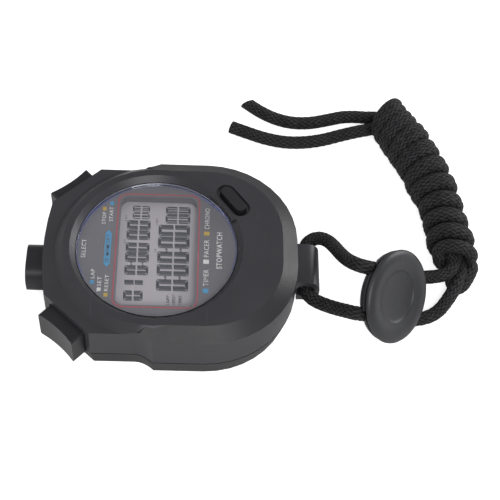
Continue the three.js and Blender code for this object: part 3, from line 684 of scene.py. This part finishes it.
# a round bead, turned from a profile, with a tunnel for each strand
slider = {
    "centre": (-11.85, -67.75, 15.13),
    "normal": (-0.497, -0.694, 0.521),
    "long": (0.814, -0.164, 0.557),
    # radius and height above the rim's plane, from the middle of the back round to the dish
    "profile": [
        (2.5, -6.6), (5, -6.45), (7, -6.0), (9, -5.35), (10.4, -4.6), (11.6, -3.65), (12.4, -2.65),
        (12.85, -1.8), (13.0, -1.3), (12.95, -1.1), (12.45, -0.95), (12.4, -0.65), (12.45, -0.4),
        (13.1, -0.32), (13.3, -0.18), (13.4, 0.1), (13.37, 0.35), (13.15, 0.7), (12.65, 1.08), (11.8, 1.38),
        (10.9, 1.47), (10.0, 1.4), (9.1, 1.16), (8.4, 0.9), (7.95, 0.76), (7.75, 0.72), (7.62, 0.66),
        (7.5, 0.46), (7.2, 0.2), (6.6, -0.04), (5.6, -0.3), (4.4, -0.54), (2.6, -0.78), (1.2, -0.85),
    ],
    "tunnelRadius": 2.4,
    "tunnelSide": 6.5,
    "tunnelDepth": 3.25,
    "drillLength": 40,
}


def turnedBead(name, profile, steps):
    # a disc drawn out ring by ring
    clearSelection()
    radius, height = profile[0]
    bpy.ops.mesh.primitive_circle_add(vertices=steps, radius=radius * mm, fill_type="NGON")
    bead = bpy.context.object
    bead.name = name
    bpy.ops.object.mode_set(mode="EDIT")
    bpy.ops.mesh.select_all(action="SELECT")
    bpy.ops.transform.translate(value=(0, 0, height * mm))
    bpy.ops.mesh.select_mode(type="FACE")
    bpy.ops.mesh.duplicate()
    for (r0, z0), (r1, z1) in zip(profile, profile[1:]):
        bpy.ops.mesh.extrude_region_move(TRANSFORM_OT_translate={"value": (0, 0, (z1 - z0) * mm)})
        bpy.ops.transform.resize(value=(r1 / r0, r1 / r0, 1), center_override=(0, 0, z1 * mm))
    bpy.ops.mesh.select_all(action="SELECT")
    bpy.ops.mesh.remove_doubles(threshold=0.001 * mm)
    bpy.ops.mesh.normals_make_consistent(inside=False)
    bpy.ops.object.mode_set(mode="OBJECT")
    return bead


bead = turnedBead("sliderBead", slider["profile"], 96)
for side in (-1, 1):
    clearSelection()
    bpy.ops.mesh.primitive_cylinder_add(
        vertices=40, radius=slider["tunnelRadius"] * mm, depth=slider["drillLength"] * mm,
        location=(side * slider["tunnelSide"] * mm, 0, -slider["tunnelDepth"] * mm),
        rotation=(math.pi / 2, 0, 0),
    )
    drill = bpy.context.object
    finishModifier(bead, "BOOLEAN", operation="DIFFERENCE", object=drill, solver="EXACT")
    bpy.data.objects.remove(drill)
normal = Vector(slider["normal"]).normalized()
longWay = Vector(slider["long"])
longWay = (longWay - normal * longWay.dot(normal)).normalized()
beadFrame = Matrix((longWay, normal.cross(longWay), normal)).transposed().to_4x4()
beadFrame.translation = Vector(slider["centre"]) * mm
bead.data.transform(beadFrame)
smooth(bead, 26)
sliderGrey = mouldedPlastic(
    "slider grey", (0.028, 0.0285, 0.032), (0.035, 0.0355, 0.04), (0.4, 0.5), 3000, 0.01, 0.15,
)
dress(bead, sliderGrey)
finish(bead, "slider", "slider_grey", "lanyard_slider")
print("slider ready:", len(bead.data.polygons), "faces")

# the clear disc over the dial
lens = {
    "radius": 22.7,
    "low": 17.5,
    "high": 19.0,
    # rings at the edge of the face: width of each step and how far the next one sinks or rises
    "rings": [(0.3, 0.0), (0.1, -0.02), (0.3, 0.0), (0.1, 0.02)] * 2,
    "edge": 0.08,
}
clearSelection()
bpy.ops.mesh.primitive_cylinder_add(
    vertices=128, radius=lens["radius"] * mm, depth=(lens["high"] - lens["low"]) * mm,
    location=(0, 0, (lens["high"] + lens["low"]) / 2 * mm),
)
clearLens = placeIntoMesh(bpy.context.object)
clearLens.name = "clearLens"
selectFaces(clearLens, lambda face: face.normal.z > 0.9)
for width, lift in lens["rings"]:
    bpy.ops.mesh.inset(thickness=width * mm)
    bpy.ops.transform.translate(value=(0, 0, lift * mm))
bpy.ops.object.mode_set(mode="OBJECT")
finishModifier(
    clearLens, "BEVEL", width=lens["edge"] * mm, segments=2, limit_method="ANGLE",
    angle_limit=math.radians(60),
)
smooth(clearLens, 5)
dress(clearLens, clearPlastic("lens clear", (0.95, 0.95, 0.96), (0.0, 0.012)))
finish(clearLens, "case", "lens_clear", "lens")

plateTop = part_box("dial_plate")[1].z
inkRise = 0.02 * mm
inks = {
    "white": (0.85, 0.85, 0.83),
    "blue": (0.10, 0.36, 0.62),
    "yellow": (0.62, 0.44, 0.10),
    "red": (0.50, 0.10, 0.12),
    "ringBlue": (0.13, 0.16, 0.42),
    "grey": (0.16, 0.16, 0.18),
}


def inkMaterial(name, colour):
    dark = [c * 0.9 for c in colour]
    return mouldedPlastic("ink " + name, dark, colour, (0.5, 0.62), 1500, 0.004, 0.2, 0.3, 900.0)


inkMaterials = {name: inkMaterial(name, colour) for name, colour in inks.items()}


def printWord(text, x0, x1, y0, y1, lift=0.0, weight=0.0):
    # a word fitted to its box on the dial, in millimetres
    clearSelection()
    bpy.ops.object.text_add(location=(0, 0, 0))
    word = bpy.context.object
    word.data.body = text
    word.data.size = 1.0
    word.data.resolution_u = 3
    word.data.offset = weight
    word.data.space_character = 1.12
    bpy.ops.object.convert(target="MESH")
    word = bpy.context.object
    xs = [v.co.x for v in word.data.vertices]
    ys = [v.co.y for v in word.data.vertices]
    wide = (x1 - x0) / (max(xs) - min(xs)) * mm
    tall = (y1 - y0) / (max(ys) - min(ys)) * mm
    word.data.transform(Matrix.Translation((-min(xs), -min(ys), 0)))
    word.data.transform(Matrix.Diagonal((wide, tall, 1.0, 1.0)))
    word.data.transform(Matrix.Translation((x0 * mm, y0 * mm, plateTop + lift)))
    return word


def printPatch(x0, x1, y0, y1, lift=0.0):
    clearSelection()
    middle = ((x0 + x1) / 2 * mm, (y0 + y1) / 2 * mm, plateTop + lift)
    bpy.ops.mesh.primitive_plane_add(size=1, location=middle)
    patch = bpy.context.object
    patch.scale = ((x1 - x0) * mm, (y1 - y0) * mm, 1)
    return placeIntoMesh(patch)


def ringOf(patch, width):
    # leaves only the rim of a flat face
    selectFaces(patch, lambda face: True)
    bpy.ops.mesh.inset(thickness=width)
    bpy.ops.mesh.delete(type="FACE")
    bpy.ops.object.mode_set(mode="OBJECT")
    return patch


def layInk(name, parts, ink, thickness=inkRise):
    clearSelection()
    for part in parts:
        part.select_set(True)
    bpy.context.view_layer.objects.active = parts[0]
    if len(parts) > 1:
        bpy.ops.object.join()
    layer = bpy.context.view_layer.objects.active
    layer.name = name
    takeUp(layer)
    bpy.ops.object.mode_set(mode="EDIT")
    bpy.ops.mesh.select_all(action="SELECT")
    bpy.ops.mesh.remove_doubles(threshold=0.0005 * mm)
    bpy.ops.mesh.normals_make_consistent(inside=False)
    bpy.ops.mesh.select_mode(type="FACE")
    bpy.ops.mesh.select_all(action="SELECT")
    bpy.ops.mesh.extrude_region_move(TRANSFORM_OT_translate={"value": (0, 0, thickness)})
    bpy.ops.mesh.select_all(action="SELECT")
    bpy.ops.mesh.normals_make_consistent(inside=False)
    bpy.ops.object.mode_set(mode="OBJECT")
    dress(layer, inkMaterials[ink])
    return finish(layer, "case", "dial_print")


# each word or patch: left, right, bottom, top
whiteWords = [
    ("SELECT", -3.3, 3.0, 20.0, 21.25), ("LAP", -10.1, -7.0, 17.0, 18.1), ("SET", -12.6, -9.5, 15.0, 16.1),
    ("RESET", -14.2, -8.8, 13.0, 14.05), ("STOP", 8.4, 12.6, 15.0, 16.1), ("START", 9.4, 14.5, 13.0, 14.1),
    ("TIMER", -11.7, -6.2, -14.75, -13.3), ("PACER", -2.0, 3.9, -14.75, -13.3),
    ("CHRONO", 7.6, 14.9, -14.8, -13.35),
]
whiteParts = [printWord(*word, weight=0.008) for word in whiteWords]
whiteParts.append(printWord("STOPWATCH", -5.9, 6.6, -18.5, -16.85, weight=0.03))
whiteParts += [printPatch(-14.3, -13.1, 15.0, 16.1), printPatch(-4.3, -2.9, -14.8, -13.2)]
layInk("whitePrint", whiteParts, "white")

# a bar with a point at each end
badgeShape = {"box": (-5.0, 5.1, 13.0, 14.75), "middle": 13.87, "point": 1.3}
badge = printPatch(*badgeShape["box"])
takeUp(badge)
bpy.ops.object.mode_set(mode="EDIT")
bpy.ops.mesh.select_mode(type="EDGE")
bpy.ops.mesh.select_all(action="DESELECT")
bpy.ops.object.mode_set(mode="OBJECT")
for edge in badge.data.edges:
    a, b = (badge.data.vertices[i].co for i in edge.vertices)
    edge.select = abs(a.x - b.x) < 0.1 * mm
bpy.ops.object.mode_set(mode="EDIT")
bpy.ops.mesh.subdivide(number_cuts=1)
bpy.ops.object.mode_set(mode="OBJECT")
for vertex in badge.data.vertices:
    if abs(vertex.co.y - badgeShape["middle"] * mm) < 0.1 * mm:
        vertex.co.x += math.copysign(badgeShape["point"] * mm, vertex.co.x)
blueParts = [
    badge, printPatch(-11.9, -10.7, 17.0, 18.1), printPatch(15.1, 16.4, 13.0, 14.1),
    printPatch(-14.0, -12.6, -14.8, -13.2),
]
layInk("bluePrint", blueParts, "blue")
badgeWord = printWord("10 MEMORY", -4.6, 4.9, 13.35, 14.4, inkRise * 1.1, 0.012)
layInk("badgeWord", [badgeWord], "grey", 0.01 * mm)
yellowParts = [
    printPatch(-16.0, -14.8, 13.0, 14.1), printPatch(13.2, 14.4, 15.0, 16.1),
    printPatch(5.4, 6.7, -14.8, -13.2),
]
layInk("yellowPrint", yellowParts, "yellow")

displayFrame = {"box": (-19.25, 19.45, -11.95, 11.8), "corner": 2.9, "width": 0.34}
frameLine = printPatch(*displayFrame["box"])
selectFaces(frameLine, lambda face: True)
bpy.ops.mesh.bevel(offset=displayFrame["corner"] * mm, segments=10, affect="VERTICES")
bpy.ops.object.mode_set(mode="OBJECT")
layInk("redFrame", [ringOf(frameLine, displayFrame["width"] * mm)], "red")

dialRing = {"radius": 22.5, "width": 0.22}
clearSelection()
bpy.ops.mesh.primitive_circle_add(
    vertices=128, radius=dialRing["radius"] * mm, fill_type="NGON", location=(0, 0, plateTop),
)
ringPatch = placeIntoMesh(bpy.context.object)
layInk("blueRing", [ringOf(ringPatch, dialRing["width"] * mm)], "ringBlue")

dialGrey = mouldedPlastic(
    "dial grey", (0.172, 0.172, 0.19), (0.19, 0.19, 0.21), (0.45, 0.55), 1800, 0.01, 0.25, 0.4, 40.0,
)
dress(nodes["dial_plate"], dialGrey)
print("dial print ready")

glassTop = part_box("lcd_front_glass")[1].z
display = {
    "gap": 0.1,  # clear strip left round each segment
    "split": 0.14,  # half the gap at a digit's middle height
    "widestBar": 0.36,  # of a digit's width
    # left, right, bottom, top and width of the bars of each digit, which shows as nought
    "noughts": [
        (-14.7, -11.9, 3.4, 9.0, 0.95), (-6.2, -3.45, 2.2, 9.1, 0.95), (-1.85, 0.9, 2.2, 9.1, 0.95),
        (1.45, 4.3, 2.2, 9.1, 0.95), (5.8, 8.6, 2.2, 9.1, 0.95), (9.25, 12.1, 2.2, 9.1, 0.95),
        (13.1, 14.75, 2.6, 7.7, 0.6), (15.4, 17.3, 2.6, 7.7, 0.6),
        (-11.2, -7.9, -9.2, 0.0, 1.1), (-6.2, -2.9, -9.2, 0.0, 1.1), (-1.9, 1.5, -9.2, 0.0, 1.1),
        (3.2, 6.6, -9.2, 0.0, 1.1), (7.3, 10.8, -9.2, 0.0, 1.1), (11.8, 14.35, -9.2, -1.9, 0.8),
        (14.9, 17.3, -9.2, -1.9, 0.8),
    ],
    "bars": [
        (-9.35, -8.5, 6.2, 8.8), (-9.35, -8.5, 3.6, 5.9), (-2.95, -2.45, 6.95, 7.45),
        (-2.95, -2.45, 3.75, 4.25), (-7.55, -6.95, -2.9, -2.3), (-7.55, -6.95, -6.95, -6.35),
        (1.9, 2.5, -2.9, -2.3), (1.9, 2.5, -6.95, -6.35),
        (4.85, 5.1, 9.2, 9.7), (12.5, 12.75, 9.2, 9.7), (13.3, 13.55, 9.2, 9.7),
        (1.9, 2.15, 0.3, 0.8), (11.5, 11.75, 0.25, 0.75), (12.5, 12.75, 0.25, 0.75),
    ],
    "words": [
        ("LAP", -15.7, -13.2, -3.95, -3.1), ("SPLIT", -15.7, -12.8, -5.65, -4.8),
        ("TIME", -15.7, -13.2, -7.4, -6.55),
    ],
}


def flatDigit(x0, x1, y0, y1, bar, z):
    # a rim with mitred corners, cut in two at half height
    digit = printPatch(x0, x1, y0, y1, z - plateTop)
    ringOf(digit, min(bar, display["widestBar"] * (x1 - x0)) * mm)
    middle = (y0 + y1) / 2 * mm
    bpy.ops.object.mode_set(mode="EDIT")
    for side in (-1, 1):
        bpy.ops.mesh.select_all(action="SELECT")
        bpy.ops.mesh.bisect(plane_co=(0, middle + side * display["split"] * mm, z), plane_no=(0, 1, 0))
    bpy.ops.object.mode_set(mode="OBJECT")
    selectFaces(digit, lambda face: abs(face.center.y - middle) < 0.1 * mm)
    bpy.ops.mesh.delete(type="FACE")
    bpy.ops.mesh.select_all(action="SELECT")
    bpy.ops.mesh.inset(thickness=display["gap"] * mm, use_individual=True)
    bpy.ops.mesh.select_all(action="INVERT")
    bpy.ops.mesh.delete(type="FACE")
    bpy.ops.object.mode_set(mode="OBJECT")
    return digit


def displayLayer(name, lift, shift, alpha, thickness):
    # every segment at once, as flat ink just over the glass; a faint layer shifted to one side is their
    # painted shadow
    z = glassTop + lift * mm
    parts = [flatDigit(*digit, z) for digit in display["noughts"]]
    for x0, x1, y0, y1 in display["bars"]:
        parts.append(printPatch(x0, x1, y0, y1, z - plateTop))
    for word in display["words"]:
        parts.append(printWord(*word, z - plateTop))
    layer = layInk(name, parts, "grey", thickness * mm)
    layer.data.transform(Matrix.Translation((shift[0] * mm, shift[1] * mm, 0)))
    material = mouldedPlastic(
        name + " ink", (0.115, 0.125, 0.15), (0.135, 0.145, 0.172), (0.4, 0.5), 1200, 0.002, 0.1, 0.2,
    )
    material.node_tree.nodes["Principled BSDF"].inputs["Alpha"].default_value = alpha
    dress(layer, material)


# the segments' painted shadow on the reflector, a faint copy shifted to one side
displayLayer("segmentShadow", 0.004, (-0.74, -0.08), 0.38, 0.004)
displayLayer("segments", 0.016, (0.0, 0.0), 0.5, 0.006)
lcdGrey = mouldedPlastic(
    "display grey", (0.50, 0.475, 0.50), (0.54, 0.515, 0.54), (0.28, 0.34), 1500, 0.003, 0.1, 0.5, 35.0,
)
dress(nodes["lcd_front_glass"], lcdGrey)
dress(nodes["lcd_rear_glass"], lcdGrey)
print("display ready")

plated = metal("nickel plate", (0.5, 0.5, 0.49), (0.66, 0.65, 0.63), (0.22, 0.36))
# radius and thickness of the head, radius of the shank, whole length
caseScrew = {"head": 2.0, "headT": 1.4, "shank": 1.0, "length": 9.0}
boardScrew = {"head": 1.5, "headT": 0.9, "shank": 0.8, "length": 5.0}
thread = {"pitch": 0.7, "root": 0.8, "start": 0.3, "tip": 1.0}
crossSlot = {"length": 1.25, "width": 0.44}  # shares of the head's radius


def buildScrew(name, values):
    profile = [
        (0.3, 0.0), (0.8 * values["head"], 0.0), (0.95 * values["head"], 0.12), (values["head"], 0.45),
        (values["head"], values["headT"]), (values["shank"], values["headT"] + 0.02),
    ]
    height = values["headT"] + thread["start"]
    while height < values["length"] - thread["tip"]:
        ridge = height + thread["pitch"] / 2
        profile += [(values["shank"] * thread["root"], height), (values["shank"], ridge)]
        height += thread["pitch"]
    profile.append((0.15, values["length"]))
    screw = turnedBead(name, profile, 32)
    for turn in (0, math.pi / 2):
        clearSelection()
        bpy.ops.mesh.primitive_cube_add(size=1, rotation=(0, 0, turn))
        blade = bpy.context.object
        length, width = crossSlot["length"] * values["head"], crossSlot["width"] * values["head"]
        blade.scale = (length * mm, width * mm, values["headT"] * mm)
        finishModifier(screw, "BOOLEAN", operation="DIFFERENCE", object=blade, solver="EXACT")
        bpy.data.objects.remove(blade)
    smooth(screw, 32)
    dress(screw, plated)
    return screw


def placeScrews(pattern, nodeNames, values):
    # one screw is made, and copied into each node's place
    first = buildScrew(pattern + "1", values)
    for i, node in enumerate(nodeNames):
        screw = first if i == len(nodeNames) - 1 else first.copy()
        if screw is not first:
            screw.data = first.data.copy()
            bpy.context.scene.collection.objects.link(screw)
        low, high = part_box(node)
        screw.data.transform(Matrix.Translation(((low.x + high.x) / 2, (low.y + high.y) / 2, low.z)))
        finish(screw, "case", "screw_steel", node)


placeScrews("caseScrew", ["case_screw_1", "case_screw_2", "case_screw_3", "case_screw_4"], caseScrew)
placeScrews("boardScrew", ["board_screw_1", "board_screw_2", "board_screw_3"], boardScrew)

innerFinishes = {
    "gasket": mouldedPlastic(
        "gasket foam", (0.012, 0.012, 0.012), (0.02, 0.02, 0.02), (0.85, 0.95), 1500, 0.06, 0.6,
    ),
    "holder": mouldedPlastic(
        "holder white", (0.66, 0.65, 0.61), (0.72, 0.71, 0.67), (0.4, 0.5), 1500, 0.02,
    ),
    "zebra": mouldedPlastic("zebra rubber", (0.16, 0.16, 0.17), (0.32, 0.32, 0.34), (0.7, 0.8), 1200, 0.04),
    "board": mouldedPlastic(
        "board green", (0.018, 0.1, 0.035), (0.03, 0.15, 0.055), (0.25, 0.35), 700, 0.03,
    ),
    "epoxy": mouldedPlastic(
        "epoxy black", (0.008, 0.008, 0.008), (0.014, 0.014, 0.014), (0.12, 0.25), 400, 0.05,
    ),
    "ceramic": mouldedPlastic(
        "ceramic chip", (0.34, 0.24, 0.14), (0.42, 0.31, 0.19), (0.5, 0.6), 1500, 0.02,
    ),
    "dome": mouldedPlastic(
        "silicone dome", (0.05, 0.05, 0.055), (0.07, 0.07, 0.075), (0.6, 0.7), 1500, 0.02,
    ),
    "can": metal("crystal can", (0.55, 0.55, 0.54), (0.72, 0.72, 0.7), (0.2, 0.3), 900),
    "cell": metal("cell steel", (0.58, 0.58, 0.58), (0.7, 0.7, 0.7), (0.16, 0.3), 2400),
    "spring": metal("contact steel", (0.55, 0.54, 0.52), (0.7, 0.69, 0.66), (0.2, 0.32), 2000),
    "brass": metal("sounder brass", (0.62, 0.42, 0.16), (0.78, 0.58, 0.26), (0.2, 0.34), 1500),
    "bronze": metal("leaf bronze", (0.6, 0.38, 0.2), (0.74, 0.52, 0.3), (0.22, 0.34), 1700),
}
innerPieces = {
    "lens_tape": "gasket", "lcd_holder": "holder", "zebra_strip_upper": "zebra", "zebra_strip_lower": "zebra",
    "circuit_board": "board", "chip_coating": "epoxy", "timing_crystal": "can", "capacitor_1": "ceramic",
    "capacitor_2": "ceramic", "coin_cell": "cell", "cell_strap": "spring", "cell_pad": "spring",
    "sounder_disc": "brass", "sounder_spring_inner": "spring", "sounder_spring_outer": "spring",
    "start_stop_leaf": "bronze", "lap_reset_leaf": "bronze", "select_leaf": "bronze", "mode_dome": "dome",
}
for node, kind in innerPieces.items():
    dress(nodes[node], innerFinishes[kind])
print("inner pieces ready")
